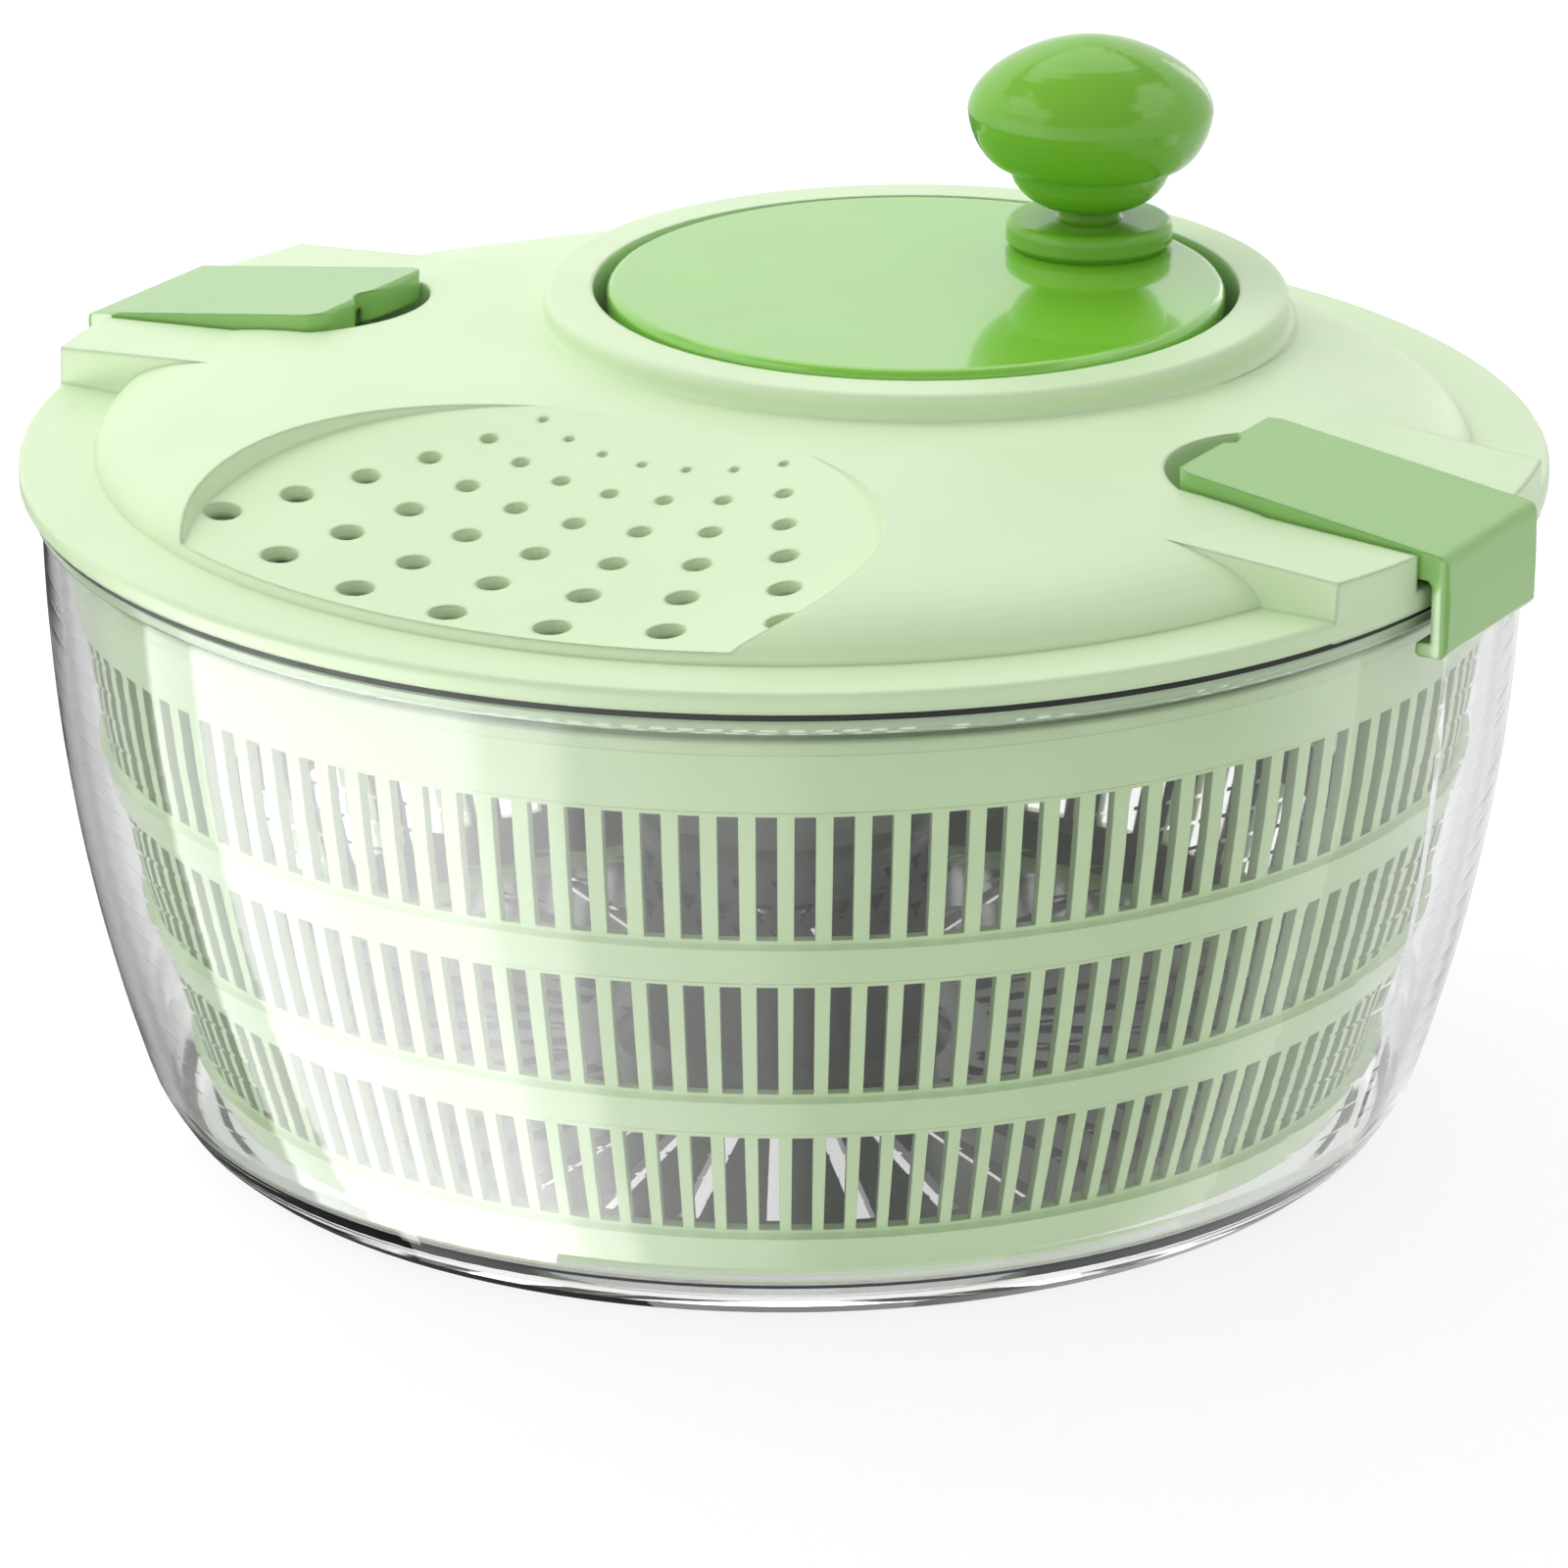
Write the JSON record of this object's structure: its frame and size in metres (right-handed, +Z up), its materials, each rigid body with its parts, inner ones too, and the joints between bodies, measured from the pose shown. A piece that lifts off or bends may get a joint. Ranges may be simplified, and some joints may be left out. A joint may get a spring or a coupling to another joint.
{
  "type": "salad spinner",
  "caption": "Hand-cranked salad spinner: clear bowl, slotted basket, clip-on lid with strainer holes, offset crank disc with knob and a geared drive plate.",
  "frame": {"origin": "centre of the bowl's resting face, on the table", "axes": "+Z up along the bowl's axis; the two lid clips lie on +X and -X; the crank disc is towards +Y and the pouring strainer towards -Y"},
  "size_m": [0.2678, 0.26, 0.1702],
  "materials": {
    "clear_plastic": "clear, glossy",
    "pale_plastic": "satin",
    "mid_plastic": "satin",
    "leaf_plastic": "high gloss",
    "white_plastic": "natural acetal",
    "seal_rubber": "matt",
    "steel": "turned"
  },
  "bodies": {
    "bowl": {"bowl": "clear_plastic"},
    "pivot": {"pivot_bush": "white_plastic"},
    "basket": {"basket": "pale_plastic"},
    "lid": {"lid": "pale_plastic", "seal_ring": "seal_rubber", "shaft_bush": "white_plastic", "crank_bush": "white_plastic", "clip_pins": "steel"},
    "clip_right": {"clip_right": "mid_plastic"},
    "clip_left": {"clip_left": "mid_plastic"},
    "crank": {"crank_disc": "leaf_plastic", "drive_gear": "white_plastic", "gear_screws": "steel", "crank_washer": "steel", "crank_screw": "steel", "knob_base": "leaf_plastic", "knob_spindle": "steel", "knob_washer": "steel", "knob_screw": "steel"},
    "knob": {"knob_cup": "leaf_plastic", "knob_grip": "leaf_plastic"},
    "drive": {"drive_shaft": "steel", "pinion": "white_plastic", "drive_plate": "white_plastic", "plate_washer": "steel", "plate_screw": "steel"}
  },
  "joints": [
    {"name": "lid_lift", "type": "slide", "parent": "bowl", "child": "lid", "axis": [0, 0, 1], "range_m": [0, 0.24]},
    {"name": "basket_spin", "type": "hinge", "parent": "bowl", "child": "pivot", "pos_m": [0, 0, 0.04], "axis": [0, 0, 1], "continuous": true},
    {"name": "basket_lift", "type": "slide", "parent": "pivot", "child": "basket", "axis": [0, 0, 1], "range_m": [0, 0.12]},
    {"name": "crank_spin", "type": "hinge", "parent": "lid", "child": "crank", "pos_m": [0, 0.045, 0.125], "axis": [0, 0, 1], "continuous": true},
    {"name": "drive_spin", "type": "hinge", "parent": "lid", "child": "drive", "pos_m": [0, 0, 0.115], "axis": [0, 0, 1], "continuous": true},
    {"name": "knob_spin", "type": "hinge", "parent": "crank", "child": "knob", "pos_m": [0.01507, 0.08032, 0.15], "axis": [0, 0, 1], "continuous": true},
    {"name": "clip_right_open", "type": "hinge", "parent": "lid", "child": "clip_right", "pos_m": [0.12, 0, 0.1206], "axis": [0, -1, 0], "range_deg": [0, 10]},
    {"name": "clip_left_open", "type": "hinge", "parent": "lid", "child": "clip_left", "pos_m": [-0.12, 0, 0.1206], "axis": [0, 1, 0], "range_deg": [0, 10]}
  ],
  "couplings": [
    {"joint": "drive_spin", "follows": "crank_spin", "ratio": -4},
    {"joint": "basket_spin", "follows": "crank_spin", "ratio": -4},
    {"joint": "basket_lift", "follows": "lid_lift", "ratio": 0.5}
  ]
}
